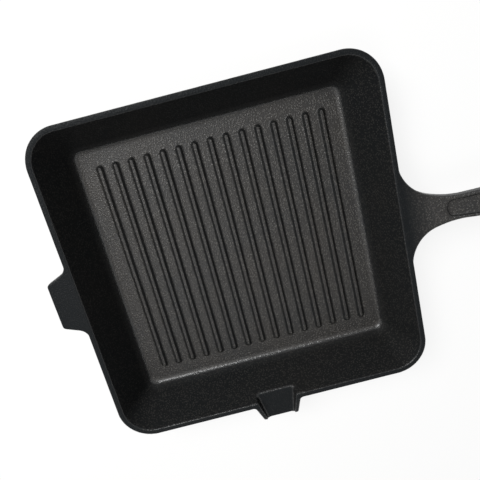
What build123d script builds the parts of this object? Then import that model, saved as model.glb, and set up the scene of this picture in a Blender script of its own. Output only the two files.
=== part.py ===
"""Square grill pan, cast in iron in one pour.

The frame of the part has +X along the main handle, the pouring spout at -Y and +Z up.
The origin is the centre of the underside, on the plane that the pan rests on.
The casting is parted into its regions, which meet face to face: the floor, the four
walls, the spout, the helper handle and the main handle. The ridges stand on the floor.
"""

import os
from math import atan, cos, radians, sin, tan

from build123d import *

# Bowl, in millimetres
rim_side = 260.0
rim_width = 4.3
rim_corner_radius = 27.0
rim_band_height = 3.0
rim_edge_radius = 1.1
pan_height = 46.0
floor_thickness = 5.0
floor_side = 212.0
floor_corner_radius = 7.0
floor_fillet_radius = 5.0
foot_margin = 2.2
foot_corner_radius = 11.0
foot_edge_radius = 8.0
plate_margin = 1.0

# Ridges on the floor
ridge_count = 15
ridge_pitch = 12.83
ridge_length = 184.6
ridge_height = 3.0
ridge_base_width = 5.8
ridge_top_width = 2.3
ridge_crown_radius = 0.8

# Pouring spout
spout_depth = 8.0
spout_fall = 1.2
spout_sill_width = 33.0
spout_lip_width = 23.6
spout_cheek_width = 3.2
spout_cheek_fall = 5.0
spout_reach = 16.2
spout_lip_overhang = 1.2
spout_floor_thickness = 3.4
spout_root_depth = 19.0
spout_root_radius = 3.2
spout_channel_radius = 2.4
spout_edge_radius = 0.9

# Helper handle
helper_reach = 16.8
helper_tip_width = 37.0
helper_root_width = 51.0
helper_tip_thickness = 5.6
helper_root_depth = 12.5
helper_tip_radius = 3.2
helper_root_radius = 9.0
helper_edge_radius = 1.1

# Main handle, with its rise in degrees
neck_root_width = 37.5
neck_root_radius = 31.0
neck_width = 18.2
neck_reach = 35.0
neck_waist_radius = 60.0
handle_level_reach = 4.0
handle_bend_radius = 80.0
handle_rise_angle = 12.0
handle_reach = 150.0
handle_end_width = 31.6
handle_end_flat = 0.3
handle_thickness = 9.0
handle_root_depth = 20.0
handle_web_reach = 30.0
handle_web_radius = 60.0
handle_edge_radius = 1.6
grip_start_reach = 29.0

# Dish in the top of the main handle
dish_start_reach = 32.0
dish_eye_gap = 17.2
dish_border = 2.8
dish_depth = 2.4
dish_end_arc_rise = 2.4
dish_corner_radius = 3.0
dish_floor_radius = 1.6

# Hanging eye at the end of the main handle
eye_radius = 5.5
eye_edge_radius = 1.0
eye_start_gap = 13.2

# Roots of both handles: how far they sink into the bowl and lie below the rim
root_sink = 0.4
root_step = 0.1

# Overrun of the cutting shapes past the metal
overrun = 20.0

# Places that follow from these sizes
rim_half = rim_side / 2
foot_half = floor_side / 2 + foot_margin
band_level = pan_height - rim_band_height
lean = atan((rim_half - foot_half) / band_level)
fillet_reach = floor_fillet_radius * tan((radians(90) - lean) / 2)
plate_side = floor_side - 2 * fillet_reach - 2 * plate_margin
plate_corner_radius = floor_corner_radius - fillet_reach
root_line = rim_half - root_sink
root_top = pan_height - root_step


def leaning_square(low_side, low_radius, low_z, high_side, high_radius, high_z):
    """Solid with leaning sides and rounded corners between two levels."""
    with BuildPart() as body:
        with BuildSketch(Plane.XY.offset(low_z)):
            RectangleRounded(low_side, low_side, low_radius)
        with BuildSketch(Plane.XY.offset(high_z)):
            RectangleRounded(high_side, high_side, high_radius)
        loft(ruled=True)
    return body.part


def root_half(corner_half, side_angle, radius):
    """Half width, on the rim, of a handle root that is rounded into the rim."""
    return corner_half + radius * tan((radians(90) - side_angle) / 2)


def corners_near(plan, x, half_width):
    """Corners of a plan outline that lie at a distance x and within a half width."""
    return plan.vertices().filter_by(
        lambda corner: abs(corner.X - x) < rim_edge_radius and abs(corner.Y) < half_width
    )


def export(piece, name):
    """Name a finished piece and write it to its own file."""
    piece.part.label = name
    export_step(piece.part, f"parts/{name}.step")


os.makedirs("parts", exist_ok=True)

# Outside of the bowl, as a full body
with BuildPart() as outside:
    add(leaning_square(
        2 * foot_half, foot_corner_radius, 0, rim_side, rim_corner_radius, band_level
    ))
    with BuildSketch(Plane.XY.offset(band_level)):
        RectangleRounded(rim_side, rim_side, rim_corner_radius)
    extrude(amount=rim_band_height)
    fillet(outside.edges().group_by(Axis.Z)[0], foot_edge_radius)
    fillet(outside.edges().group_by(Axis.Z)[-1], rim_edge_radius)

# Inside of the bowl, as a full body
with BuildPart() as inside:
    add(leaning_square(
        floor_side, floor_corner_radius, floor_thickness,
        rim_side - 2 * rim_width, rim_corner_radius - rim_width, pan_height,
    ))
    fillet(inside.edges().group_by(Axis.Z)[0], floor_fillet_radius)

# Bowl with its rounded rim
with BuildPart() as bowl:
    add(outside.part)
    add(inside.part, mode=Mode.SUBTRACT)
    rim_face = bowl.faces().filter_by(Plane.XY).sort_by(Axis.Z)[-1]
    fillet(rim_face.inner_wires()[0].edges(), rim_edge_radius)

# Helper handle, a short tab level with the rim
helper_tip_x = -rim_half - helper_reach
helper_side_angle = atan((helper_root_width - helper_tip_width) / 2 / helper_reach)
helper_root_half = root_half(helper_root_width / 2, helper_side_angle, helper_root_radius)
helper_inner_half = helper_root_half + rim_edge_radius
with BuildPart() as helper_handle:
    with BuildSketch() as helper_plan:
        with BuildLine():
            Polyline(
                (-foot_half, helper_inner_half),
                (-root_line, helper_inner_half),
                (-root_line, helper_root_width / 2),
                (helper_tip_x, helper_tip_width / 2),
                (helper_tip_x, -helper_tip_width / 2),
                (-root_line, -helper_root_width / 2),
                (-root_line, -helper_inner_half),
                (-foot_half, -helper_inner_half),
                close=True,
            )
        make_face()
        fillet(corners_near(helper_plan, helper_tip_x, helper_tip_width), helper_tip_radius)
        fillet(corners_near(helper_plan, -root_line, helper_root_half), helper_root_radius)
    extrude(amount=pan_height)
    with BuildSketch(Plane.XZ):
        with BuildLine():
            Polyline(
                (-foot_half, root_top),
                (helper_tip_x, root_top),
                (helper_tip_x, root_top - helper_tip_thickness),
                (-rim_half, pan_height - helper_root_depth),
                (-foot_half, pan_height - helper_root_depth),
                close=True,
            )
        make_face()
    extrude(amount=rim_side, both=True, mode=Mode.INTERSECT)
    helper_edges = helper_handle.edges().filter_by(
        lambda edge: edge.center().X < -rim_half + rim_edge_radius / 2
        and edge.center().Z > root_top - helper_edge_radius / 2
    )
    fillet(helper_edges, helper_edge_radius)
    add(outside.part, mode=Mode.SUBTRACT)
export(helper_handle, "helper_handle")

# Side outline of the main handle: level at the rim, a bend, and a straight rise
slope = radians(handle_rise_angle)
bend_x = rim_half + handle_level_reach
grip_x = bend_x + handle_bend_radius * sin(slope)
grip_z = root_top + handle_bend_radius * (1 - cos(slope))
waist_x = rim_half + neck_reach
end_x = rim_half + handle_reach
widening = (handle_end_width - neck_width) / 2 / (handle_reach - neck_reach)
end_turn = radians(90) + atan(widening)
handle_end_radius = (handle_end_width - handle_end_flat) / 2 / tan(end_turn / 2)


def grip_top(x):
    """Level of the straight top of the main handle at a distance x."""
    return grip_z + (x - grip_x) * tan(slope)


def grip_under(x):
    """Level of the straight underside of the main handle at a distance x."""
    return grip_top(x) - handle_thickness / cos(slope)


neck_side_angle = atan((neck_root_width - neck_width) / 2 / neck_reach)
neck_root_half = root_half(neck_root_width / 2, neck_side_angle, neck_root_radius)
neck_inner_half = neck_root_half + rim_edge_radius
web_x = rim_half + handle_web_reach
with BuildPart() as handle:
    with BuildSketch() as handle_plan:
        with BuildLine():
            Polyline(
                (foot_half, neck_inner_half),
                (root_line, neck_inner_half),
                (root_line, neck_root_width / 2),
                (waist_x, neck_width / 2),
                (end_x, handle_end_width / 2),
                (end_x, -handle_end_width / 2),
                (waist_x, -neck_width / 2),
                (root_line, -neck_root_width / 2),
                (root_line, -neck_inner_half),
                (foot_half, -neck_inner_half),
                close=True,
            )
        make_face()
        fillet(corners_near(handle_plan, end_x, handle_end_width), handle_end_radius)
        fillet(corners_near(handle_plan, waist_x, neck_width), neck_waist_radius)
        fillet(corners_near(handle_plan, root_line, neck_root_half), neck_root_radius)
    extrude(amount=grip_top(end_x))
    with BuildSketch(Plane.XZ) as handle_side:
        with BuildLine():
            start = Line((foot_half, root_top), (bend_x, root_top))
            bend = JernArc(start @ 1, start % 1, handle_bend_radius, handle_rise_angle)
            Polyline(
                bend @ 1,
                (end_x, grip_top(end_x)),
                (end_x, grip_under(end_x)),
                (web_x, grip_under(web_x)),
                (foot_half, pan_height - handle_root_depth),
                (foot_half, root_top),
            )
        make_face()
        fillet(
            handle_side.vertices().sort_by_distance((web_x, grip_under(web_x)))[0],
            handle_web_radius,
        )
    extrude(amount=rim_side, both=True, mode=Mode.INTERSECT)
    long_edges = handle.edges().filter_by(lambda edge: edge.length > handle_reach / 2)
    fillet(long_edges, handle_edge_radius)
    add(outside.part, mode=Mode.SUBTRACT)

# Dish and hanging hole, cut square to the rising top of the handle
grip_plane = Plane(
    origin=(grip_x, 0, grip_z), x_dir=(cos(slope), 0, sin(slope)),
    z_dir=(-sin(slope), 0, cos(slope)),
)
eye_x = end_x - handle_end_width / 2
dish_end_x = eye_x - dish_eye_gap
eye_along = (eye_x - grip_x) / cos(slope)
dish_start = (rim_half + dish_start_reach - grip_x) / cos(slope)
dish_end = (dish_end_x - grip_x) / cos(slope)
dish_start_half = neck_width / 2 - dish_border
dish_end_half = dish_start_half + (dish_end_x - waist_x) * widening
with BuildPart() as finished_handle:
    add(handle.part)
    with BuildSketch(grip_plane) as dish_plan:
        with BuildLine():
            Line((dish_start, dish_start_half), (dish_end, dish_end_half))
            ThreePointArc(
                (dish_end, dish_end_half),
                (dish_end + dish_end_arc_rise, 0),
                (dish_end, -dish_end_half),
            )
            Line((dish_end, -dish_end_half), (dish_start, -dish_start_half))
            ThreePointArc(
                (dish_start, -dish_start_half),
                (dish_start - dish_end_arc_rise, 0),
                (dish_start, dish_start_half),
            )
        make_face()
        fillet(dish_plan.vertices(), dish_corner_radius)
    extrude(amount=-dish_depth, mode=Mode.SUBTRACT)
    dish_floor = finished_handle.faces().filter_by(
        lambda face: abs(grip_plane.to_local_coords(face.center()).Z + dish_depth)
        < dish_floor_radius / 10
    )
    fillet(dish_floor[0].outer_wire().edges(), dish_floor_radius)
    with BuildSketch(grip_plane):
        with Locations((eye_along, 0)):
            Circle(eye_radius)
    extrude(amount=handle_thickness + overrun, both=True, mode=Mode.SUBTRACT)
    eye_edges = finished_handle.edges().filter_by(GeomType.CIRCLE).filter_by(
        lambda edge: abs(edge.radius - eye_radius) < eye_edge_radius / 10
    )
    fillet(eye_edges, eye_edge_radius)

# Main handle, parted square to its length
grip_cut = Plane(grip_plane.from_local_coords(
    ((rim_half + grip_start_reach - grip_x) / cos(slope), 0, 0)
), z_dir=grip_plane.x_dir)
eye_cut = Plane(grip_plane.from_local_coords(
    ((eye_x - eye_start_gap - grip_x) / cos(slope), 0, 0)
), z_dir=grip_plane.x_dir)
with BuildPart() as handle_neck:
    add(finished_handle.part)
    split(bisect_by=grip_cut, keep=Keep.BOTTOM)
export(handle_neck, "handle_neck")
with BuildPart() as handle_grip:
    add(finished_handle.part)
    split(bisect_by=grip_cut, keep=Keep.TOP)
    split(bisect_by=eye_cut, keep=Keep.BOTTOM)
export(handle_grip, "handle_grip")
with BuildPart() as hanging_eye:
    add(finished_handle.part)
    split(bisect_by=eye_cut, keep=Keep.TOP)
export(hanging_eye, "hanging_eye")

# Spout, drawn with its first axis pointing out of the bowl
out_plan = Plane(origin=(0, 0, 0), x_dir=(0, -1, 0), z_dir=(0, 0, 1))
out_side = Plane(origin=(0, 0, 0), x_dir=(0, -1, 0), z_dir=(-1, 0, 0))
lip_y = rim_half + spout_reach
sill_y = rim_half - rim_width - spout_depth * tan(lean)
sill_level = pan_height - spout_depth
lip_level = sill_level - spout_fall
spout_root_width = spout_sill_width + 2 * spout_cheek_width
spout_tip_width = spout_lip_width + 2 * spout_cheek_width
spout_taper = (spout_root_width - spout_tip_width) / 2 / spout_reach
spout_side_angle = atan(spout_taper)
spout_root_half = root_half(spout_root_width / 2, spout_side_angle, spout_root_radius)
spout_inner_half = spout_root_half + rim_edge_radius
overhang_y = lip_y + spout_lip_overhang
overhang_half = spout_tip_width / 2 - spout_taper * spout_lip_overhang
with BuildPart() as spout_body:
    with BuildSketch(out_plan) as spout_plan:
        with BuildLine():
            Polyline(
                (foot_half, spout_inner_half),
                (rim_half, spout_inner_half),
                (rim_half, spout_root_width / 2),
                (overhang_y, overhang_half),
                (overhang_y, -overhang_half),
                (rim_half, -spout_root_width / 2),
                (rim_half, -spout_inner_half),
                (foot_half, -spout_inner_half),
                close=True,
            )
        make_face()
        fillet(corners_near(spout_plan, rim_half, spout_root_half), spout_root_radius)
    extrude(amount=pan_height)
    with BuildSketch(out_side):
        with BuildLine():
            Polyline(
                (foot_half, pan_height),
                (rim_half, pan_height),
                (lip_y, pan_height - spout_cheek_fall),
                (overhang_y, lip_level),
                (overhang_y, lip_level - spout_floor_thickness),
                (rim_half, pan_height - spout_root_depth),
                (foot_half, pan_height - spout_root_depth),
                close=True,
            )
        make_face()
    extrude(amount=rim_side, both=True, mode=Mode.INTERSECT)
    add(outside.part, mode=Mode.SUBTRACT)

# Channel of the spout, as the body that is cut away
channel_taper = (spout_sill_width - spout_lip_width) / 2 / (lip_y - sill_y)
channel_in_y = sill_y - overrun
channel_out_y = lip_y + overrun
channel_in_half = spout_sill_width / 2 + channel_taper * overrun
channel_out_half = spout_lip_width / 2 - channel_taper * overrun
channel_fall = spout_fall / (lip_y - sill_y) * overrun
with BuildPart() as spout_channel:
    with BuildSketch(out_plan):
        with BuildLine():
            Polyline(
                (channel_in_y, channel_in_half),
                (channel_out_y, channel_out_half),
                (channel_out_y, -channel_out_half),
                (channel_in_y, -channel_in_half),
                close=True,
            )
        make_face()
    extrude(amount=pan_height + overrun)
    with BuildSketch(out_side):
        with BuildLine():
            Polyline(
                (channel_in_y, sill_level + channel_fall),
                (channel_out_y, lip_level - channel_fall),
                (channel_out_y, pan_height + overrun),
                (channel_in_y, pan_height + overrun),
                close=True,
            )
        make_face()
    extrude(amount=rim_side, both=True, mode=Mode.INTERSECT)
    low_edges = spout_channel.edges().filter_by(
        lambda edge: edge.center().Z < sill_level + spout_edge_radius
        and abs(edge.tangent_at(0).X) < sin(radians(45))
    )
    fillet(low_edges, spout_channel_radius)

# Spout, which stands on the outside of its wall
with BuildPart() as pouring_spout:
    add(spout_body.part)
    add(spout_channel.part, mode=Mode.SUBTRACT)
    cheek_edges = pouring_spout.edges().filter_by(
        lambda edge: edge.center().Y < -rim_half - spout_edge_radius
        and edge.center().Z > lip_level - spout_floor_thickness - spout_edge_radius
        and abs(edge.center().X) < spout_root_width / 2
    )
    fillet(cheek_edges, spout_edge_radius)
export(pouring_spout, "pouring_spout")

# Flat floor inside its rounded join to the walls
with BuildPart() as floor_plate:
    with BuildSketch():
        RectangleRounded(plate_side, plate_side, plate_corner_radius)
    extrude(amount=floor_thickness)
export(floor_plate, "floor_plate")

# Four walls, mitred at the corners
wall_names = ("handle_wall", "back_wall", "helper_wall", "spout_wall")
for turn, wall_name in enumerate(wall_names):
    with BuildPart() as wall:
        add(bowl.part)
        with BuildSketch(Plane.XY.rotated((0, 0, turn * 90))):
            with BuildLine():
                Polyline((0, 0), (rim_side, -rim_side), (rim_side, rim_side), close=True)
            make_face()
        extrude(amount=pan_height, mode=Mode.INTERSECT)
        with BuildSketch():
            RectangleRounded(plate_side, plate_side, plate_corner_radius)
        extrude(amount=floor_thickness, mode=Mode.SUBTRACT)
        if wall_name == "spout_wall":
            add(spout_channel.part, mode=Mode.SUBTRACT)
    export(wall, wall_name)

# Ridges that stand on the floor, side by side along the handle's direction
for number in range(ridge_count):
    place = (number - (ridge_count - 1) / 2) * ridge_pitch
    with BuildPart() as ridge:
        with BuildSketch(Plane((place, 0, floor_thickness))):
            SlotOverall(ridge_length, ridge_base_width, rotation=90)
        with BuildSketch(Plane((place, 0, floor_thickness + ridge_height))):
            side_step = ridge_base_width - ridge_top_width
            SlotOverall(ridge_length - side_step, ridge_top_width, rotation=90)
        loft(ruled=True)
        fillet(ridge.edges().group_by(Axis.Z)[-1], ridge_crown_radius)
    export(ridge, f"ridge_{number + 1:02d}")
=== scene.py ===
"""Square grill pan, sand-cast in iron and seasoned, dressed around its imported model.

The pan is made as a foundry makes it. Wooden patterns of the bowl, the two handles and the
spout are lofted and joined, cast in one pour, and the casting is then parted along the
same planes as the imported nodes, so that each region is a closed piece of its own. The
ridges are separate pieces that stand on the floor.

Lengths in the classes are in millimetres. The row frame has +X along the main handle, the
pouring spout at -Y and +Z up, with its origin at the centre of the underside.
"""

import logging
import math
from dataclasses import dataclass
from enum import Enum
from typing import Sequence

import bpy
from bpy.types import Material, Node, NodeSocket, NodeTree, Object, World
from mathutils import Matrix, Vector


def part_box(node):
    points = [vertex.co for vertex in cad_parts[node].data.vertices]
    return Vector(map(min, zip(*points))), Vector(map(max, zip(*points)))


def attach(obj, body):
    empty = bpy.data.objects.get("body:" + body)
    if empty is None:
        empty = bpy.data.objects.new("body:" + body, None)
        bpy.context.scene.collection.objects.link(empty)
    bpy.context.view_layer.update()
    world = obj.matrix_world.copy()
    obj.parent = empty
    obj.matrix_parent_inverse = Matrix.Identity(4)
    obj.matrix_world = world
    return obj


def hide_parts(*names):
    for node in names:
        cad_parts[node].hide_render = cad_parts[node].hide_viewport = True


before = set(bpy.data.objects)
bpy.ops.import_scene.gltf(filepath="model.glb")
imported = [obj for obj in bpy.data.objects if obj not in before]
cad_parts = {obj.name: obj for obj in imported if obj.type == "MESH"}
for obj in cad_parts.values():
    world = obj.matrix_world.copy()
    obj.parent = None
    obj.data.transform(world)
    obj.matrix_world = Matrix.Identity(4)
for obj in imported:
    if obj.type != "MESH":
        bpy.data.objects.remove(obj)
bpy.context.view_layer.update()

LOG = logging.getLogger("grill_pan")
MM = 0.001
BODY = "root"
ROOT_DEPTH = 2.0
"""Depth under the outside of the bowl to which the roots of handles and spout reach."""

ROOT_WING = 5.0
"""Extra half width of a root inside the wall, where it doesn't show."""

Point = tuple[float, float]
Triple = tuple[float, float, float]


class Side(Enum):
    """Sides of the bowl, each with its turn about the vertical from +X, in degrees."""

    HANDLE = 0.0
    BACK = 90.0
    HELPER = 180.0
    SPOUT = 270.0

    @property
    def turn(self) -> float:
        """Turn about the vertical, in radians."""
        return math.radians(self.value)

    @property
    def outward(self) -> Vector:
        """Unit vector that points out of the bowl on this side."""
        return Vector((math.cos(self.turn), math.sin(self.turn), 0.0))

    @property
    def along(self) -> Vector:
        """Unit vector along the rim on this side."""
        return Vector((-math.sin(self.turn), math.cos(self.turn), 0.0))


@dataclass(frozen=True)
class Ring:
    """One outline of a pattern: a rectangle with rounded corners.

    Attributes:
        centre: Middle of the rectangle.
        size: Its extent along X, Y and Z. The one that is 0 is square to its plane.
        corner: Radius of its corners, or 0 for sharp ones.
    """

    centre: Triple
    size: Triple
    corner: float = 0.0

    @property
    def turn(self) -> Triple:
        """Euler angles that turn a flat square into the ring's plane."""
        return (0.0, 0.0, 0.0) if self.size[0] else (0.0, math.pi / 2, 0.0)


@dataclass(frozen=True)
class Cut:
    """A parting plane. The metal on the side that its normal points to is kept."""

    point: Vector
    normal: Vector


def rounded_outline(corners: Sequence[Triple], steps: int = 8) -> list[Point]:
    """Draw an open outline and round its inner corners.

    Args:
        corners: Corners as (across, up, radius). The first and last keep no radius.
        steps: Straight steps in each rounding.

    Returns:
        The points of the outline, in order.
    """
    points = [corners[0][:2]]
    for before, here, after in zip(corners, corners[1:], corners[2:]):
        corner = Vector(here[:2])
        radius = here[2]
        if not radius:
            points.append(here[:2])
            continue
        back = (Vector(before[:2]) - corner).normalized()
        ahead = (Vector(after[:2]) - corner).normalized()
        half_angle = back.angle(ahead) / 2
        reach = radius / math.tan(half_angle)
        centre = corner + (back + ahead).normalized() * radius / math.sin(half_angle)
        first = corner + back * reach - centre
        last = corner + ahead * reach - centre
        for step in range(steps + 1):
            point = centre + first.slerp(last, step / steps).normalized() * radius
            points.append((point.x, point.y))
    points.append(corners[-1][:2])
    return points


def height_at(outline: Sequence[Point], across: float) -> float:
    """Read the second coordinate of an outline at one place, level past its ends."""
    if across <= outline[0][0]:
        return outline[0][1]
    for (x0, y0), (x1, y1) in zip(outline, outline[1:]):
        if across <= x1:
            share = (across - x0) / max(x1 - x0, 1e-9)
            return y0 + (y1 - y0) * share
    return outline[-1][1]


def select_only(piece: Object) -> None:
    """Make one object the selected and active one."""
    bpy.ops.object.select_all(action="DESELECT")
    piece.select_set(True)
    bpy.context.view_layer.objects.active = piece


def apply_modifier(piece: Object, kind: str, **settings: object) -> None:
    """Add a modifier of this type, set it by name and apply it."""
    select_only(piece)
    modifier = piece.modifiers.new(kind.title(), kind)
    for name, value in settings.items():
        setattr(modifier, name, value)
    bpy.ops.object.modifier_apply(modifier=modifier.name)


def select_rings(piece: Object, *numbers: int) -> None:
    """Select rings of a pattern by their vertex groups."""
    bpy.ops.mesh.select_all(action="DESELECT")
    for number in numbers:
        piece.vertex_groups.active_index = number
        bpy.ops.object.vertex_group_select()


def loft(name: str, rings: Sequence[Ring], corner_steps: int = 8) -> Object:
    """Bridge rings into one closed pattern.

    Args:
        name: Name of the pattern.
        rings: Its outlines, in order.
        corner_steps: Straight steps in each rounded corner.

    Returns:
        The closed object, in object mode.
    """
    bpy.ops.object.select_all(action="DESELECT")
    bpy.ops.mesh.primitive_plane_add(size=MM)
    piece = bpy.context.object
    piece.name = name
    bpy.ops.object.mode_set(mode="EDIT")
    bpy.ops.mesh.delete(type="VERT")
    for ring in rings:
        centre = Vector(ring.centre) * MM
        bpy.ops.mesh.primitive_plane_add(size=MM, location=centre, rotation=ring.turn)
        bpy.ops.transform.resize(value=ring.size, center_override=centre)
        if ring.corner:
            bpy.ops.mesh.bevel(offset=ring.corner * MM, segments=corner_steps, affect="VERTICES")
        bpy.ops.object.vertex_group_assign_new()
        bpy.ops.mesh.delete(type="ONLY_FACE")
    for number in range(len(rings) - 1):
        select_rings(piece, number, number + 1)
        bpy.ops.mesh.bridge_edge_loops()
    for number in (0, len(rings) - 1):
        select_rings(piece, number)
        bpy.ops.mesh.edge_face_add()
    bpy.ops.mesh.select_all(action="SELECT")
    bpy.ops.mesh.normals_make_consistent(inside=False)
    bpy.ops.object.mode_set(mode="OBJECT")
    piece.vertex_groups.clear()
    return piece


def loft_bar(
    name: str, plan: Sequence[Point], top: Sequence[Point], under: Sequence[Point], edge: float,
) -> Object:
    """Loft a bar that points along +X and round its long edges.

    Args:
        name: Name of the bar.
        plan: Half width along the bar.
        top: Level of the top along the bar.
        under: Level of the underside along the bar.
        edge: Radius of the long edges.

    Returns:
        The closed bar.
    """
    least_step = 0.08
    least_half = 0.1
    flat_angle = math.radians(0.3)
    edge_angle = math.radians(50)
    stations: list[float] = []
    for place in sorted(x for outline in (plan, top, under) for x, _ in outline):
        if plan[0][0] <= place <= plan[-1][0] and (not stations or place - stations[-1] > least_step):
            stations.append(place)
    rings = []
    for place in stations:
        high = height_at(top, place)
        low = height_at(under, place)
        half = max(height_at(plan, place), least_half)
        rings.append(Ring((place, 0.0, (high + low) / 2), (0.0, 2 * half, high - low)))
    bar = loft(name, rings)
    select_only(bar)
    bpy.ops.object.mode_set(mode="EDIT")
    bpy.ops.mesh.dissolve_limited(angle_limit=flat_angle)
    bpy.ops.object.mode_set(mode="OBJECT")
    apply_modifier(
        bar, "BEVEL", width=edge * MM, segments=3, limit_method="ANGLE",
        angle_limit=edge_angle, use_clamp_overlap=False,
    )
    return bar


def place_piece(piece: Object, placing: Matrix) -> None:
    """Move a pattern to its place and put that place in its mesh."""
    select_only(piece)
    piece.matrix_world = placing
    bpy.ops.object.transform_apply(location=True, rotation=True, scale=True)


def cut_away(piece: Object, cutter: Object, keep_cutter: bool = False) -> None:
    """Cut one closed body out of another, and drop the cutter if it has no more use."""
    apply_modifier(piece, "BOOLEAN", operation="DIFFERENCE", solver="EXACT", object=cutter)
    if not keep_cutter:
        bpy.data.objects.remove(cutter)


def part_along(piece: Object, cuts: Sequence[Cut]) -> None:
    """Cut a closed piece along planes, keep what is in front of them and close it."""
    select_only(piece)
    bpy.ops.object.mode_set(mode="EDIT")
    for cut in cuts:
        bpy.ops.mesh.select_all(action="SELECT")
        bpy.ops.mesh.bisect(
            plane_co=cut.point * MM, plane_no=cut.normal, use_fill=True, clear_inner=True,
        )
    bpy.ops.object.mode_set(mode="OBJECT")


def linear(code: str) -> tuple[float, float, float, float]:
    """Turn an sRGB colour like "#rrggbb" into Blender's linear one with full alpha."""
    values = [int(code[place:place + 2], 16) / 255 for place in (1, 3, 5)]
    channels = [v / 12.92 if v <= 0.04045 else ((v + 0.055) / 1.055) ** 2.4 for v in values]
    return (*channels, 1.0)


def add_node(
    tree: NodeTree, kind: str, settings: dict[str, object] | None = None,
    inputs: dict[str | int, object] | None = None,
) -> Node:
    """Add a shader node.

    Args:
        tree: Node tree that gets the node.
        kind: Type of the node.
        settings: Its properties by name.
        inputs: Values or output sockets for its inputs, by name or number.

    Returns:
        The node.
    """
    node = tree.nodes.new(kind)
    for name, value in (settings or {}).items():
        setattr(node, name, value)
    for key, value in (inputs or {}).items():
        if isinstance(value, NodeSocket):
            tree.links.new(value, node.inputs[key])
        else:
            node.inputs[key].default_value = value
    return node


def maths(tree: NodeTree, operation: str, *values: object) -> NodeSocket:
    """Combine values or sockets with a Math node and give its result."""
    return add_node(tree, "ShaderNodeMath", {"operation": operation}, dict(enumerate(values))).outputs[0]


def ramp(
    tree: NodeTree, value: NodeSocket, span: Point = (0.0, 1.0),
    to: Point = (0.0, 1.0), unit: float = 1.0,
) -> NodeSocket:
    """Carry a value from one span, times unit, to another one, held at both ends."""
    return add_node(tree, "ShaderNodeMapRange", None, {
        "Value": value, "From Min": span[0] * unit, "From Max": span[1] * unit,
        "To Min": to[0], "To Max": to[1],
    }).outputs["Result"]


def split(tree: NodeTree, vector: NodeSocket) -> Sequence[NodeSocket]:
    """Split a vector into its X, Y and Z."""
    return add_node(tree, "ShaderNodeSeparateXYZ", None, {0: vector}).outputs


def noise(
    tree: NodeTree, place: NodeSocket, width: float, detail: float,
    roughness: float = 0.5,
) -> NodeSocket:
    """Draw soft noise with blots of this width and finer layers on them."""
    return add_node(tree, "ShaderNodeTexNoise", None, {
        "Vector": place, "Scale": 1 / (width * MM), "Detail": detail, "Roughness": roughness,
    }).outputs["Fac"]


def blend(
    tree: NodeTree, share: NodeSocket, first: object, second: object,
) -> NodeSocket:
    """Mix two colours, with this share of the second."""
    return add_node(tree, "ShaderNodeMix", {"data_type": "RGBA"}, {0: share, 6: first, 7: second}).outputs[2]


def fresh_tree(owner: Material | World) -> NodeTree:
    """Turn on the nodes of a material or world and clear them."""
    owner.use_nodes = True
    owner.node_tree.nodes.clear()
    return owner.node_tree


def sees_backdrop(tree: NodeTree) -> NodeSocket:
    """Give 1 for rays that show the backdrop, directly, in a reflection or through glass, else 0."""
    path = add_node(tree, "ShaderNodeLightPath").outputs
    direct = maths(tree, "MAXIMUM", path["Is Camera Ray"], path["Is Glossy Ray"])
    return maths(tree, "MAXIMUM", direct, path["Is Transmission Ray"])


def show_backdrop(
    tree: NodeTree, seen: NodeSocket, real: Node, shown: Node,
    output: str,
) -> None:
    """Mix the shader that lights the pan with the one that the backdrop's rays see."""
    mixed = add_node(tree, "ShaderNodeMixShader", None, {
        0: seen, 1: real.outputs[0], 2: shown.outputs[0],
    })
    add_node(tree, output, None, {"Surface": mixed.outputs[0]})


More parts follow.
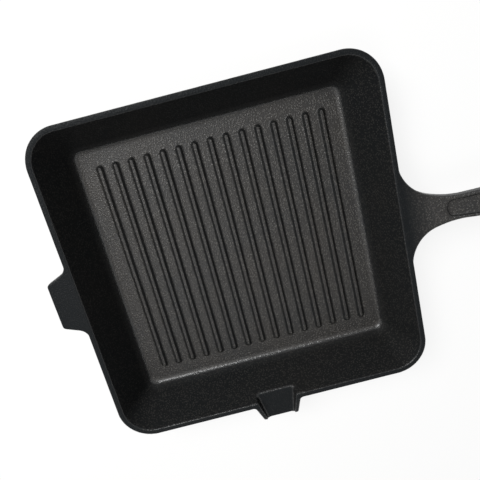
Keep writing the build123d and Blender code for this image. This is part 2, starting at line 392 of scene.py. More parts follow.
@dataclass(frozen=True)
class SeasonedIron:
    """Sand-cast iron under baked oil: near black, pebbled by the sand, with a satin sheen.

    The pebbles' lighter tops and warm patches are mixed in by zone and by facing as painted
    light: fully on the cooking floor, much on the grip, less on the steep walls, which stay
    dark as painted shade, and least on the rim, tab and spout.

    Attributes:
        body: Colour of the seasoning in the hollows, a black that is a little cool.
        high: Colour on the tops of the pebbles of the cooking floor, a dull mid grey, partly
        the grain and partly a painted sheen on the tops.
        patch: Colour that the cooking floor drifts to over a hand's width, a warm black.
        speck: Colour of the few bare grains, shown mostly on the level faces of the cooking
        floor and grip, partly as painted glints.
        pebble: Width of the sand's pebbles.
        grit: Width of the fine grit on them, drawn coarser than real so that it shows.
        grit_weight: Height of the grit against that of the pebbles.
        drift: Width of the patches.
        bare: Width of the bare grains.
        bare_span: Noise at which a bare grain starts and at which it is full.
        bare_share: How far a full grain hides the seasoning.
        pebble_span: Distance from a pebble's middle at its foot and at its top.
        grain_span: Grain at the bottom of the hollows and at the tops.
        rim_share: Share of the cooking floor's painted light and sheen on rim, tab and spout.
        grip_share: The same on the main handle, painted lighter and shinier.
        wall_share: Share of the lighter tops and patches on the steep walls, kept low as painted
        shade.
        floor_levels: Levels where the cooking floor's painted light and sheen have ended and
        where they are full.
        grip_places: Places along X where the handle's painted light and sheen start and where
        they are full.
        field_edge: Distances from the middle where the film of oil starts and where it is full.
        lying_span: Upward part of the normal on steep walls and on level faces.
        level_span: The same where a rounded edge is level and where it has left that.
        wall_span: The same where it is still wall and where it has left that.
        relief: Height of the pebbles.
        relief_strength: Strength of the relief on steep walls and on level faces.
        film_sheen: What the thicker film of oil on the rounded edges adds to the sheen.
        film_gloss: What it takes off the roughness.
        sheen: Sheen without wear and with full wear.
        roughness: Roughness in the hollows and on the tops.
    """

    body: str = "#171a1c"
    high: str = "#4e4c48"
    patch: str = "#2c2824"
    speck: str = "#77736d"
    pebble: float = 1.5
    grit: float = 0.7
    grit_weight: float = 0.9
    drift: float = 45.0
    bare: float = 1.7
    bare_span: Point = (0.81, 0.85)
    bare_share: float = 0.5
    pebble_span: Point = (0.55, 0.1)
    grain_span: Point = (0.68, 1.32)
    rim_share: float = 0.08
    grip_share: float = 0.8
    wall_share: float = 0.38
    floor_levels: Point = (14.0, 8.0)
    grip_places: Point = (128.0, 150.0)
    field_edge: Point = (95.0, 98.0)
    lying_span: Point = (0.7, 0.97)
    level_span: Point = (0.95, 0.85)
    wall_span: Point = (0.5, 0.62)
    relief: float = 0.22
    relief_strength: Point = (0.6, 0.9)
    film_sheen: float = 0.2
    film_gloss: float = 0.15
    sheen: Point = (0.05, 0.33)
    roughness: Point = (0.38, 0.28)

    def draw_light_and_sheen_zones(self, tree: NodeTree, place: NodeSocket) -> NodeSocket:
        """Draw the zones of painted light and sheen: the cooking floor and the grip, the rim at a small
        share.
        """
        spot = split(tree, place)
        # painted light and sheen, full on the cooking floor and small on the rim
        cooking = ramp(tree, spot["Z"], self.floor_levels, (self.rim_share, 1.0), MM)
        # painted light and sheen on the grip
        held = ramp(tree, spot["X"], self.grip_places, (0.0, self.grip_share), MM)
        return maths(tree, "MAXIMUM", cooking, held)

    def film(
        self, tree: NodeTree, place: NodeSocket, upward: NodeSocket,
    ) -> NodeSocket:
        """Draw the thicker oil on rounded edges, which gives them their line of light."""
        sizes = add_node(tree, "ShaderNodeVectorMath", {"operation": "ABSOLUTE"}, {0: place})
        sides = split(tree, sizes.outputs[0])
        border = ramp(tree, maths(tree, "MAXIMUM", sides["X"], sides["Y"]), self.field_edge, unit=MM)
        off_level = ramp(tree, upward, self.level_span)
        rounding = maths(tree, "MULTIPLY", off_level, ramp(tree, upward, self.wall_span))
        return maths(tree, "MULTIPLY", rounding, border)

    def grain(self, tree: NodeTree, place: NodeSocket) -> NodeSocket:
        """Draw the pebbles of the sand with fine grit on them, which the eye reads as cast iron."""
        pebbles = add_node(tree, "ShaderNodeTexVoronoi", {"feature": "SMOOTH_F1"}, {
            "Vector": place, "Scale": 1 / (self.pebble * MM), "Smoothness": 0.4,
        }).outputs["Distance"]
        grit = noise(tree, place, self.grit, 2.0, 0.6)
        return maths(tree, "MULTIPLY_ADD", grit, self.grit_weight, ramp(tree, pebbles, self.pebble_span))

    def colour(
        self, tree: NodeTree, place: NodeSocket, level: NodeSocket,
        lying: NodeSocket, painted_light_and_sheen: NodeSocket,
    ) -> NodeSocket:
        """Mix the seasoning: black hollows, grey tops, warm patches and a few bare grains, lighter by zone
        and by facing as painted light.
        """
        # painted light and shade: lighter colour on level faces and the cooking floor, darker steep walls
        painted_light_share = add_node(tree, "ShaderNodeMix", None, {0: lying, 2: self.wall_share, 3: painted_light_and_sheen}).outputs[0]
        warm = maths(tree, "MULTIPLY", noise(tree, place, self.drift, 3.0, 0.55), painted_light_share)
        colour = blend(tree, warm, linear(self.body), linear(self.patch))
        # the lighter pebble tops: partly grain, partly a painted sheen
        colour = blend(tree, maths(tree, "MULTIPLY", level, painted_light_share), colour, linear(self.high))
        bare = ramp(tree, noise(tree, place, self.bare, 0.0), self.bare_span, (0.0, self.bare_share))
        # bare grains kept to level faces of floor and grip: partly painted glints
        bare = maths(tree, "MULTIPLY", bare, maths(tree, "MULTIPLY", lying, painted_light_and_sheen))
        return blend(tree, bare, colour, linear(self.speck))

    def make(self) -> Material:
        """Build the material."""
        material = bpy.data.materials.new("seasoned_cast_iron")
        tree = fresh_tree(material)
        place = add_node(tree, "ShaderNodeTexCoord").outputs["Object"]
        facing = add_node(tree, "ShaderNodeNewGeometry").outputs["Normal"]
        upward = split(tree, facing)["Z"]
        lying = ramp(tree, upward, self.lying_span)
        # zones that get painted light in the colour and more sheen
        painted_light_and_sheen = self.draw_light_and_sheen_zones(tree, place)
        film = self.film(tree, place, upward)
        grain = self.grain(tree, place)
        level = ramp(tree, grain, self.grain_span)
        roughness = ramp(tree, level, to=self.roughness)
        relief = add_node(tree, "ShaderNodeBump", None, {
            "Height": grain, "Distance": self.relief * MM,
            "Strength": ramp(tree, lying, to=self.relief_strength),
        }).outputs["Normal"]
        sheen = ramp(tree, painted_light_and_sheen, to=self.sheen)
        shader = add_node(tree, "ShaderNodeBsdfPrincipled", None, {
            "Base Color": self.colour(tree, place, level, lying, painted_light_and_sheen),
            "Roughness": maths(tree, "MULTIPLY_ADD", film, -self.film_gloss, roughness),
            "Specular IOR Level": maths(tree, "MULTIPLY_ADD", film, self.film_sheen, sheen),
            "Normal": relief, "IOR": 1.5,
        })
        add_node(tree, "ShaderNodeOutputMaterial", None, {"Surface": shader.outputs[0]})
        return material


@dataclass(frozen=True)
class Bowl:
    """The square bowl: floor, four leaning walls and the rounded rim."""

    rim_half: float = 130.0
    rim_width: float = 4.3
    rim_corner: float = 27.0
    rim_edge: float = 1.1
    band_height: float = 3.0
    height: float = 46.0
    floor_thickness: float = 5.0
    floor_half: float = 106.0
    floor_corner: float = 7.0
    floor_fillet: float = 5.0
    foot_half: float = 108.2
    foot_corner: float = 11.0
    foot_edge: float = 8.0
    root_sink: float = 0.4
    root_step: float = 0.1

    @property
    def band_level(self) -> float:
        """Level where the leaning outside turns into the upright band of the rim."""
        return self.height - self.band_height

    @property
    def lean(self) -> float:
        """Lean of the outside from the upright, in radians."""
        return math.atan2(self.rim_half - self.foot_half, self.band_level)

    @property
    def root_line(self) -> float:
        """Distance from the centre at which the roots of handles and spout start to flare."""
        return self.rim_half - self.root_sink

    @property
    def root_top(self) -> float:
        """Level of the tops of both handles, a hair below the rim."""
        return self.height - self.root_step

    @property
    def plate_half(self) -> float:
        """Half side of the flat floor plate, read from its node."""
        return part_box("floor_plate")[1].x / MM

    def outside_corner(self, half: float, level: float) -> float:
        """Corner radius of the outside where it has this half side at this level."""
        share = min(level / self.band_level, 1.0)
        wall_half = self.foot_half + (self.rim_half - self.foot_half) * share
        wall_corner = self.foot_corner + (self.rim_corner - self.foot_corner) * share
        return wall_corner - (wall_half - half)

    def inside_corner(self, half: float, level: float) -> float:
        """Corner radius of the inside where it has this half side at this level."""
        share = (level - self.floor_thickness) / (self.height - self.floor_thickness)
        wall_half = self.floor_half + (self.rim_half - self.rim_width - self.floor_half) * share
        wall_corner = self.floor_corner + (self.rim_corner - self.rim_width - self.floor_corner) * share
        return wall_corner - (wall_half - half)

    def pattern(self) -> Object:
        """Loft the bowl's pattern from rounded squares.

        Returns:
            The closed bowl, without its spout.
        """
        middle = self.foot_half / 2
        outside = rounded_outline([
            (middle, 0.0, 0.0),
            (self.foot_half, 0.0, self.foot_edge),
            (self.rim_half, self.band_level, 0.0),
            (self.rim_half, self.height, self.rim_edge),
            (middle, self.height, 0.0),
        ])[1:-1]
        inside = rounded_outline([
            (self.rim_half, self.height, 0.0),
            (self.rim_half - self.rim_width, self.height, self.rim_edge),
            (self.floor_half, self.floor_thickness, self.floor_fillet),
            (middle, self.floor_thickness, 0.0),
        ])[1:-1]
        rings = [
            Ring((0.0, 0.0, level), (2 * half, 2 * half, 0.0), corner(half, level))
            for outline, corner in ((outside, self.outside_corner), (inside, self.inside_corner))
            for half, level in outline
        ]
        return loft("bowl_pattern", rings, corner_steps=16)

    def skin(self, side: Side, depth: float) -> Cut:
        """Plane this deep under the outside of one wall, with its front away from the bowl."""
        normal = side.outward * math.cos(self.lean) - Vector((0.0, 0.0, math.sin(self.lean)))
        point = side.outward * self.rim_half + Vector((0.0, 0.0, self.band_level))
        return Cut(point - normal * depth, normal)

    def root_plan(self, width: float, far_width: float, reach: float, radius: float) -> list[Triple]:
        """Start the plan of a handle or spout whose root is rounded into the rim.

        Args:
            width: Width of the root before it is rounded.
            far_width: Width at the far end of its straight side.
            reach: Distance between the two.
            radius: Radius of the rounding.

        Returns:
            Its first corners as (across, up, radius), the first two inside the wall.
        """
        side_angle = math.atan2((width - far_width) / 2, reach)
        wing = width / 2 + radius * math.tan((math.pi / 2 - side_angle) / 2) + ROOT_WING
        return [
            (self.foot_half, wing, 0.0), (self.root_line, wing, 0.0), (self.root_line, width / 2, radius),
        ]

    def plant(self, bar: Object, side: Side) -> None:
        """Turn a bar to its side of the bowl and trim its root inside the wall."""
        place_piece(bar, Matrix.Rotation(side.turn, 4, "Z"))
        part_along(bar, [self.skin(side, ROOT_DEPTH)])


@dataclass(frozen=True)
class HelperHandle:
    """The short tab on the far side from the main handle."""

    reach: float = 16.8
    tip_width: float = 37.0
    root_width: float = 51.0
    tip_thickness: float = 5.6
    root_depth: float = 12.5
    tip_radius: float = 3.2
    root_radius: float = 9.0
    edge: float = 1.1
    side: Side = Side.HELPER

    def pattern(self, bowl: Bowl) -> Object:
        """Loft the tab, with its root inside the wall.

        Args:
            bowl: The bowl that it stands on.

        Returns:
            The closed tab, in its place.
        """
        tip = bowl.rim_half + self.reach
        plan = rounded_outline([
            *bowl.root_plan(self.root_width, self.tip_width, self.reach, self.root_radius),
            (tip, self.tip_width / 2, self.tip_radius),
            (tip, 0.0, 0.0),
        ])[:-1]
        top = [(bowl.foot_half, bowl.root_top), (tip, bowl.root_top)]
        under = [
            (bowl.foot_half, bowl.height - self.root_depth),
            (bowl.rim_half, bowl.height - self.root_depth),
            (tip, bowl.root_top - self.tip_thickness),
        ]
        tab = loft_bar("helper_pattern", plan, top, under, self.edge)
        bowl.plant(tab, self.side)
        return tab


@dataclass(frozen=True)
class MainHandle:
    """The long handle: flared neck, dished grip and hanging eye."""

    root_width: float = 37.5
    root_radius: float = 31.0
    neck_width: float = 18.2
    neck_reach: float = 35.0
    waist_radius: float = 60.0
    level_reach: float = 4.0
    bend_radius: float = 80.0
    rise: float = 12.0
    reach: float = 150.0
    end_width: float = 31.6
    end_flat: float = 0.3
    thickness: float = 9.0
    root_depth: float = 20.0
    web_reach: float = 30.0
    web_radius: float = 60.0
    edge: float = 1.6
    grip_start: float = 29.0
    dish_start: float = 32.0
    dish_eye_gap: float = 17.2
    dish_border: float = 2.8
    dish_depth: float = 2.4
    dish_end_rise: float = 2.4
    dish_corner: float = 3.0
    dish_floor_edge: float = 1.6
    eye_radius: float = 5.5
    eye_edge: float = 1.0
    eye_gap: float = 13.2
    eye_roundness: float = 0.999
    side: Side = Side.HANDLE

    @property
    def slope(self) -> float:
        """Rise of the straight part, in radians."""
        return math.radians(self.rise)

    @property
    def widening(self) -> float:
        """Growth of the half width for each millimetre past the neck."""
        return (self.end_width - self.neck_width) / 2 / (self.reach - self.neck_reach)

    def grip_origin(self, bowl: Bowl) -> Vector:
        """Point where the bend of the top ends and its straight rise starts."""
        return Vector((
            bowl.rim_half + self.level_reach + self.bend_radius * math.sin(self.slope),
            0.0,
            bowl.root_top + self.bend_radius * (1 - math.cos(self.slope)),
        ))

    def on_slope(self, bowl: Bowl, across: float) -> Vector:
        """Point on the straight top of the grip at a distance from the pan's centre."""
        origin = self.grip_origin(bowl)
        return origin + Vector((1.0, 0.0, math.tan(self.slope))) * (across - origin.x)

    def slope_frame(self, bowl: Bowl) -> Matrix:
        """Placing of what is drawn flat and belongs on the straight top of the grip."""
        return Matrix.Translation(self.grip_origin(bowl) * MM) @ Matrix.Rotation(-self.slope, 4, "Y")

    def along_slope(self, bowl: Bowl, across: float) -> float:
        """Distance up the slope for a distance from the pan's centre."""
        return (across - self.grip_origin(bowl).x) / math.cos(self.slope)

    def eye_place(self, bowl: Bowl) -> float:
        """Distance of the eye from the pan's centre."""
        return bowl.rim_half + self.reach - self.end_width / 2

    def blank(self, bowl: Bowl) -> Object:
        """Loft the handle without its dish and its eye.

        Args:
            bowl: The bowl that it stands on.

        Returns:
            The closed bar.
        """
        end = bowl.rim_half + self.reach
        waist = bowl.rim_half + self.neck_reach
        bend = bowl.rim_half + self.level_reach
        web = bowl.rim_half + self.web_reach
        end_turn = math.pi / 2 + math.atan(self.widening)
        end_radius = (self.end_width - self.end_flat) / 2 / math.tan(end_turn / 2)
        plan = rounded_outline([
            *bowl.root_plan(self.root_width, self.neck_width, self.neck_reach, self.root_radius),
            (waist, self.neck_width / 2, self.waist_radius),
            (end, self.end_width / 2, end_radius),
            (end, 0.0, 0.0),
        ], steps=16)[:-1]
        top = [(bowl.foot_half, bowl.root_top)]
        steps = 8
        for step in range(steps + 1):
            turn = self.slope * step / steps
            top.append((
                bend + self.bend_radius * math.sin(turn),
                bowl.root_top + self.bend_radius * (1 - math.cos(turn)),
            ))
        top.append((end, self.on_slope(bowl, end).z))
        drop = self.thickness / math.cos(self.slope)
        under = rounded_outline([
            (bowl.foot_half, bowl.height - self.root_depth, 0.0),
            (web, self.on_slope(bowl, web).z - drop, self.web_radius),
            (end, self.on_slope(bowl, end).z - drop, 0.0),
        ])
        return loft_bar("handle_pattern", plan, top, under, self.edge)

    def dish_cutter(self, bowl: Bowl) -> Object:
        """Make the body that hollows the top of the grip.

        Args:
            bowl: The bowl, which sets where the grip lies.

        Returns:
            The cutter, in its place.
        """
        start = self.along_slope(bowl, bowl.rim_half + self.dish_start)
        end_across = self.eye_place(bowl) - self.dish_eye_gap
        end = self.along_slope(bowl, end_across)
        start_half = self.neck_width / 2 - self.dish_border
        end_half = start_half + (end_across - bowl.rim_half - self.neck_reach) * self.widening

        def end_arc(place: float, half: float, outward: float) -> list[Triple]:
            """Points from the middle of a bulging end towards its corner."""
            radius = (half ** 2 + self.dish_end_rise ** 2) / (2 * self.dish_end_rise)
            centre = place - outward * (radius - self.dish_end_rise)
            widest = math.asin(half / radius)
            shares = (0.0, 0.25, 0.5, 0.7)
            return [
                (centre + outward * radius * math.cos(widest * share), radius * math.sin(widest * share), 0.0)
                for share in shares
            ]

        plan = rounded_outline([
            *end_arc(start, start_half, -1.0),
            (start, start_half, self.dish_corner),
            (end, end_half, self.dish_corner),
            *reversed(end_arc(end, end_half, 1.0)),
        ])
        above = 3 * self.dish_depth
        top = [(plan[0][0], above), (plan[-1][0], above)]
        under = [(plan[0][0], -self.dish_depth), (plan[-1][0], -self.dish_depth)]
        cutter = loft_bar("dish_cutter", plan, top, under, self.dish_floor_edge)
        place_piece(cutter, self.slope_frame(bowl))
        return cutter

    def eye_cutter(self, bowl: Bowl) -> Object:
        """Make the spool that cuts the hanging eye and rounds its edges.

        Args:
            bowl: The bowl, which sets where the handle ends.

        Returns:
            The cutter, in its place.
        """
        along = self.along_slope(bowl, self.eye_place(bowl))
        wide = self.eye_radius + self.eye_edge
        past = 2 * self.eye_edge
        profile = [(wide, past)]
        profile += rounded_outline([
            (wide + self.eye_edge, 0.0, 0.0),
            (self.eye_radius, 0.0, self.eye_edge),
            (self.eye_radius, -self.thickness, self.eye_edge),
            (wide + self.eye_edge, -self.thickness, 0.0),
        ], steps=4)[1:-1]
        profile.append((wide, -self.thickness - past))
        rings = [
            Ring((along, 0.0, level), (2 * radius, 2 * radius, 0.0), self.eye_roundness * radius)
            for radius, level in profile
        ]
        cutter = loft("eye_cutter", rings, corner_steps=8)
        place_piece(cutter, self.slope_frame(bowl))
        return cutter

    def pattern(self, bowl: Bowl) -> Object:
        """Make the whole handle in its place, with its root inside the wall."""
        handle = self.blank(bowl)
        part_along(handle, [bowl.skin(self.side, ROOT_DEPTH)])
        cut_away(handle, self.dish_cutter(bowl))
        cut_away(handle, self.eye_cutter(bowl))
        return handle

    def station(self, bowl: Bowl, across: float) -> Cut:
        """Parting plane square to the slope, with its front towards the end."""
        return Cut(
            self.on_slope(bowl, across), Vector((math.cos(self.slope), 0.0, math.sin(self.slope))),
        )


@dataclass(frozen=True)
class PouringSpout:
    """The open spout in the middle of one side."""

    depth: float = 8.0
    fall: float = 1.2
    sill_width: float = 33.0
    lip_width: float = 23.6
    cheek: float = 3.2
    cheek_fall: float = 5.0
    reach: float = 16.2
    overhang: float = 1.2
    floor_thickness: float = 3.4
    root_depth: float = 19.0
    root_radius: float = 3.2
    channel_radius: float = 2.4
    edge: float = 0.9
    overrun: float = 20.0
    mouth_rounds: int = 22
    side: Side = Side.SPOUT

    def sill(self, bowl: Bowl) -> float:
        """Distance of the sill, where the channel leaves the wall, from the pan's centre."""
        return bowl.rim_half - bowl.rim_width - self.depth * math.tan(bowl.lean)

    def mouth(self, bowl: Bowl) -> tuple[Vector, Vector]:
        """Box around the mouth, where the channel leaves the wall, by its two corners."""
        half = self.sill_width / 2 + 2 * self.cheek
        clearance = 1.0
        inner = bowl.rim_half - bowl.rim_edge
        low = Vector((-half, -inner, bowl.height - self.depth - 2 * self.channel_radius))
        high = Vector((half, -self.sill(bowl) + 2 * self.channel_radius, bowl.height + clearance))
        return low, high

    def body(self, bowl: Bowl) -> Object:
        """Loft the body of the spout before its channel is cut.

        Args:
            bowl: The bowl that it stands on.

        Returns:
            The closed body, in its place.
        """
        lip = bowl.rim_half + self.reach
        overhang = lip + self.overhang
        root_width = self.sill_width + 2 * self.cheek
        tip_width = self.lip_width + 2 * self.cheek
        taper = (root_width - tip_width) / 2 / self.reach
        lip_level = bowl.height - self.depth - self.fall
        plan = rounded_outline([
            *bowl.root_plan(root_width, tip_width, self.reach, self.root_radius),
            (overhang, tip_width / 2 - taper * self.overhang, 0.0),
        ])
        top = [
            (bowl.foot_half, bowl.height),
            (bowl.rim_half, bowl.height),
            (lip, bowl.height - self.cheek_fall),
            (overhang, lip_level),
        ]
        under = [
            (bowl.foot_half, bowl.height - self.root_depth),
            (bowl.rim_half, bowl.height - self.root_depth),
            (overhang, lip_level - self.floor_thickness),
        ]
        body = loft_bar("spout_pattern", plan, top, under, self.edge)
        bowl.plant(body, self.side)
        return body

    def channel(self, bowl: Bowl) -> Object:
        """Make the body that is cut away for the channel.

        Args:
            bowl: The bowl, whose wall the channel crosses.

        Returns:
            The cutter, in its place.
        """
        lip = bowl.rim_half + self.reach
        sill = self.sill(bowl)
        sill_level = bowl.height - self.depth
        length = lip - sill
        narrowing = (self.sill_width - self.lip_width) / 2 / length
        falling = self.fall / length
        start = sill - self.overrun
        end = lip + self.overrun
        plan = [
            (start, self.sill_width / 2 + narrowing * self.overrun),
            (end, self.lip_width / 2 - narrowing * self.overrun),
        ]
        top = [(start, bowl.height + self.overrun), (end, bowl.height + self.overrun)]
        under = [
            (start, sill_level + falling * self.overrun),
            (end, sill_level - self.fall - falling * self.overrun),
        ]
        channel = loft_bar("spout_channel", plan, top, under, self.channel_radius)
        place_piece(channel, Matrix.Rotation(self.side.turn, 4, "Z"))
        return channel


@dataclass(frozen=True)
class Ridges:
    """The parallel ridges on the floor, each flared at its foot."""

    count: int = 15
    pitch: float = 12.83
    length: float = 184.6
    height: float = 3.0
    base_width: float = 5.8
    top_width: float = 2.3
    crown: float = 0.8
    foot: float = 1.5
    seat: float = 0.06
    end_roundness: float = 0.995

    def build(self, bowl: Bowl) -> list[Object]:
        """Loft one ridge, and copy it across the floor.

        Args:
            bowl: The bowl, whose floor carries them.

        Returns:
            The ridges, in the order of their nodes.
        """
        floor = bowl.floor_thickness - self.seat
        section = rounded_outline([
            (2 * self.base_width, floor, 0.0),
            (self.base_width / 2, floor, self.foot),
            (self.top_width / 2, floor + self.height + self.seat, self.crown),
            (0.0, floor + self.height + self.seat, 0.0),
        ], steps=6)[1:-1]
        section.insert(0, (section[0][0], floor - self.foot / 4))
        straight = self.length - self.base_width
        rings = [
            Ring((0.0, 0.0, level), (2 * half, straight + 2 * half, 0.0), self.end_roundness * half)
            for half, level in section
        ]
        first = loft("ridge", rings, corner_steps=8)
        for polygon in first.data.polygons:
            polygon.use_smooth = True
        ridges = []
        for number in range(self.count):
            place = (number - (self.count - 1) / 2) * self.pitch
            select_only(first)
            bpy.ops.object.duplicate()
            ridge = bpy.context.object
            ridge.name = f"cast_ridge_{number + 1:02d}"
            place_piece(ridge, Matrix.Translation((place * MM, 0.0, 0.0)))
            apply_modifier(ridge, "WEIGHTED_NORMAL", keep_sharp=True)
            ridges.append(ridge)
        bpy.data.objects.remove(first)
        return ridges


@dataclass(frozen=True)
class Foundry:
    """Pours the joined patterns as one casting and parts it into its regions.

    Attributes:
        grain: Edge of the casting's mesh.
        settling: Rounds of smoothing that soften what a mould can't hold sharp.
        settling_step: How far a round goes.
        waves: Width of the slow waves in the skin.
        wave_height: Their height.
        most_faces: Most triangles that one region may have.
    """

    grain: float = 0.8
    quick_grain: float = 1.6
    settling: int = 2
    settling_step: float = 0.5
    waves: float = 9.0
    wave_height: float = 0.12
    most_faces: int = 180000

    def ease(self, casting: Object, low: Vector, high: Vector, rounds: int) -> None:
        """Smooth the skin inside a box, where the mould is dressed by hand."""
        group = casting.vertex_groups.new(name="eased")
        inside = [
            vertex.index for vertex in casting.data.vertices
            if all(low[axis] * MM < vertex.co[axis] < high[axis] * MM for axis in range(3))
        ]
        group.add(inside, 1.0, "REPLACE")
        apply_modifier(casting, "SMOOTH", factor=self.settling_step, iterations=rounds,
                       vertex_group=group.name)
        casting.vertex_groups.clear()

    def pour(self, patterns: Sequence[Object]) -> Object:
        """Join the patterns into one skin.

        Args:
            patterns: Closed bodies that run into each other.

        Returns:
            The whole casting.
        """
        select_only(patterns[0])
        for pattern in patterns:
            pattern.select_set(True)
        bpy.ops.object.join()
        casting = bpy.context.object
        casting.name = "casting"
        grain = self.grain
        apply_modifier(casting, "REMESH", mode="VOXEL", voxel_size=grain * MM, use_smooth_shade=True)
        apply_modifier(casting, "SMOOTH", factor=self.settling_step, iterations=self.settling)
        waves = bpy.data.textures.new("skin_waves", "CLOUDS")
        waves.noise_scale = self.waves * MM
        waves.noise_depth = 2
        apply_modifier(
            casting, "DISPLACE", texture=waves, texture_coords="LOCAL",
            strength=self.wave_height * MM, mid_level=1.0,
        )
        return casting

    def part(self, casting: Object, node: str, cuts: Sequence[Cut]) -> Object:
        """Part one region from a copy of the casting.

        Args:
            casting: The whole casting.
            node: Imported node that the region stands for.
            cuts: Planes around the region.

        Returns:
            The closed region.
        """
        select_only(casting)
        bpy.ops.object.duplicate()
        region = bpy.context.object
        region.name = f"cast_{node}"
        part_along(region, cuts)
        region.data.calc_loop_triangles()
        faces = len(region.data.loop_triangles)
        if faces > self.most_faces:
            apply_modifier(region, "DECIMATE", ratio=self.most_faces / faces)
        apply_modifier(
            region, "DATA_TRANSFER", object=casting, use_loop_data=True,
            data_types_loops={"CUSTOM_NORMAL"}, loop_mapping="POLYINTERP_NEAREST",
        )
        return region


@dataclass(frozen=True)
class GrillPan:
    """The whole pan, from its patterns to its dressed pieces."""

    bowl: Bowl = Bowl()
    handle: MainHandle = MainHandle()
    helper: HelperHandle = HelperHandle()
    spout: PouringSpout = PouringSpout()
    ridges: Ridges = Ridges()
    foundry: Foundry = Foundry()
    iron: SeasonedIron = SeasonedIron()
    joint_stand: float = 0.4

    def casting(self) -> Object:
        """Make and pour the patterns, all but the ridges."""
        channel = self.spout.channel(self.bowl)
        bowl = self.bowl.pattern()
        cut_away(bowl, channel, keep_cutter=True)
        body = self.spout.body(self.bowl)
        cut_away(body, channel)
        handle = self.handle.pattern(self.bowl)
        helper = self.helper.pattern(self.bowl)
        casting = self.foundry.pour([bowl, body, handle, helper])
        self.foundry.ease(casting, *self.spout.mouth(self.bowl), rounds=self.spout.mouth_rounds)
        return casting

    def regions(self) -> dict[str, list[Cut]]:
        """Planes around each region of the casting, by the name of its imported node."""
        centre = Vector((0.0, 0.0, 0.0))
        plate = self.bowl.plate_half
        rim = self.bowl.rim_half
        beyond = {
            side: self.bowl.skin(side, -self.joint_stand)
            for side in (Side.HANDLE, Side.HELPER, Side.SPOUT)
        }
        grip = self.handle.station(self.bowl, rim + self.handle.grip_start)
        eye = self.handle.station(self.bowl, self.handle.eye_place(self.bowl) - self.handle.eye_gap)
        regions = {
            "floor_plate": [Cut(side.outward * plate, -side.outward) for side in Side],
            "handle_neck": [beyond[Side.HANDLE], Cut(grip.point, -grip.normal)],
            "handle_grip": [grip, Cut(eye.point, -eye.normal)],
            "hanging_eye": [eye],
            "helper_handle": [beyond[Side.HELPER]],
            "pouring_spout": [beyond[Side.SPOUT]],
        }
        for side in Side:
            cuts = [Cut(side.outward * plate, side.outward)]
            cuts += [
                Cut(centre, (side.outward + side.along * way).normalized()) for way in (-1.0, 1.0)
            ]
            if side in beyond:
                cuts.append(Cut(beyond[side].point, -beyond[side].normal))
            regions[f"{side.name.lower()}_wall"] = cuts
        return regions

    def dress(self, piece: Object, node: str, material: Material) -> None:
        """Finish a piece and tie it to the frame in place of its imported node."""
        piece.data.materials.clear()
        piece.data.materials.append(material)
        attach(piece, BODY)
        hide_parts(node)
        LOG.info("%s stands for %s with %d faces", piece.name, node, len(piece.data.polygons))

    def build(self) -> None:
        """Make every piece of the pan and dress it."""
        material = self.iron.make()
        casting = self.casting()
        LOG.info("casting poured with %d faces", len(casting.data.polygons))
        for node, cuts in self.regions().items():
            self.dress(self.foundry.part(casting, node, cuts), node, material)
        bpy.data.objects.remove(casting)
        for number, ridge in enumerate(self.ridges.build(self.bowl)):
            self.dress(ridge, f"ridge_{number + 1:02d}", material)


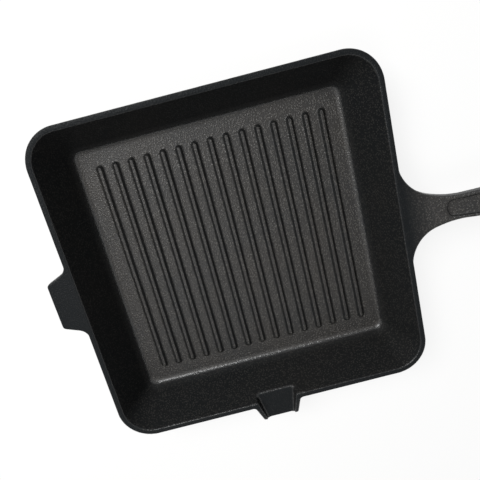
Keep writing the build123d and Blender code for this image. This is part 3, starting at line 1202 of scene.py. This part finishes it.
@dataclass(frozen=True)
class Studio:
    """Pale floor, white backdrop, two softboxes and the photograph's camera.

    Attributes:
        floor_seen: Share of plain white in the floor that the backdrop's rays see.
        floor_glow: Strength of that white. The rest of the floor keeps the shadow.
    """

    eye: Triple = (9.345, 122.292, 404.748)
    aim: Triple = (3.552, 16.187, 46.0)
    roll: float = 168.596
    lens: float = 37.397
    sensor: float = 36.0
    nearest: float = 10.0
    floor_side: float = 6000.0
    floor_colour: str = "#ececea"
    floor_seen: float = 0.8
    floor_glow: float = 1.08
    key_place: Triple = (-430.0, 545.0, 950.0)
    key_size: float = 500.0
    key_power: float = 11.5
    top_place: Triple = (-260.0, -200.0, 1000.0)
    top_size: float = 360.0
    top_power: float = 2.0
    sky_strength: float = 0.08

    def camera(self) -> None:
        """Put the camera where the photograph was taken."""
        bpy.ops.object.camera_add()
        camera = bpy.context.object
        eye = Vector(self.eye) * MM
        direction = Vector(self.aim) * MM - eye
        turn = direction.to_track_quat("-Z", "Y").to_matrix().to_4x4()
        roll = Matrix.Rotation(math.radians(self.roll), 4, "Z")
        camera.matrix_world = Matrix.Translation(eye) @ turn @ roll
        camera.data.sensor_width = self.sensor
        camera.data.lens = self.lens
        camera.data.clip_start = self.nearest * MM
        bpy.context.scene.camera = camera

    def softbox(self, name: str, place: Triple, size: float, power: float) -> None:
        """Hang a square softbox of this power in watts that looks at the pan."""
        where = Vector(place) * MM
        bpy.ops.object.light_add(type="AREA", location=where)
        light = bpy.context.object
        light.name = name
        light.data.shape = "SQUARE"
        light.data.size = size * MM
        light.data.energy = power
        light.rotation_euler = (-where).to_track_quat("-Z", "Y").to_euler()

    def lights(self) -> None:
        """Hang the key light and the weaker one overhead, which gives the floor its sheen."""
        self.softbox("key_light", self.key_place, self.key_size, self.key_power)
        self.softbox("top_light", self.top_place, self.top_size, self.top_power)

    def world(self) -> None:
        """Light the pan evenly from all round, and show white behind it."""
        world = bpy.data.worlds.new("studio")
        tree = fresh_tree(world)
        sky, white = (
            add_node(tree, "ShaderNodeBackground", None, {"Color": linear("#ffffff"), "Strength": strength})
            for strength in (self.sky_strength, 1.0)
        )
        show_backdrop(tree, sees_backdrop(tree), sky, white, "ShaderNodeOutputWorld")
        bpy.context.scene.world = world

    def floor(self) -> None:
        """Lay a pale floor under the pan that keeps its shadow."""
        bpy.ops.object.select_all(action="DESELECT")
        bpy.ops.mesh.primitive_plane_add(size=self.floor_side * MM)
        floor = bpy.context.object
        floor.name = "studio_floor"
        material = bpy.data.materials.new("pale_floor")
        tree = fresh_tree(material)
        seen = maths(tree, "MULTIPLY", sees_backdrop(tree), self.floor_seen)
        matt = add_node(tree, "ShaderNodeBsdfDiffuse", None, {"Color": linear(self.floor_colour)})
        white = add_node(tree, "ShaderNodeEmission", None, {"Strength": self.floor_glow})
        show_backdrop(tree, seen, matt, white, "ShaderNodeOutputMaterial")
        floor.data.materials.append(material)

    def build(self) -> None:
        """Set up the camera, the lights and the floor."""
        self.camera()
        self.lights()
        self.world()
        self.floor()
        bpy.context.scene.view_settings.view_transform = "Standard"


def main() -> None:
    """Build the studio and the pan, in order."""
    logging.basicConfig(level=logging.INFO, format="%(name)s: %(message)s")
    Studio().build()
    GrillPan().build()


if __name__ == "__main__":
    main()
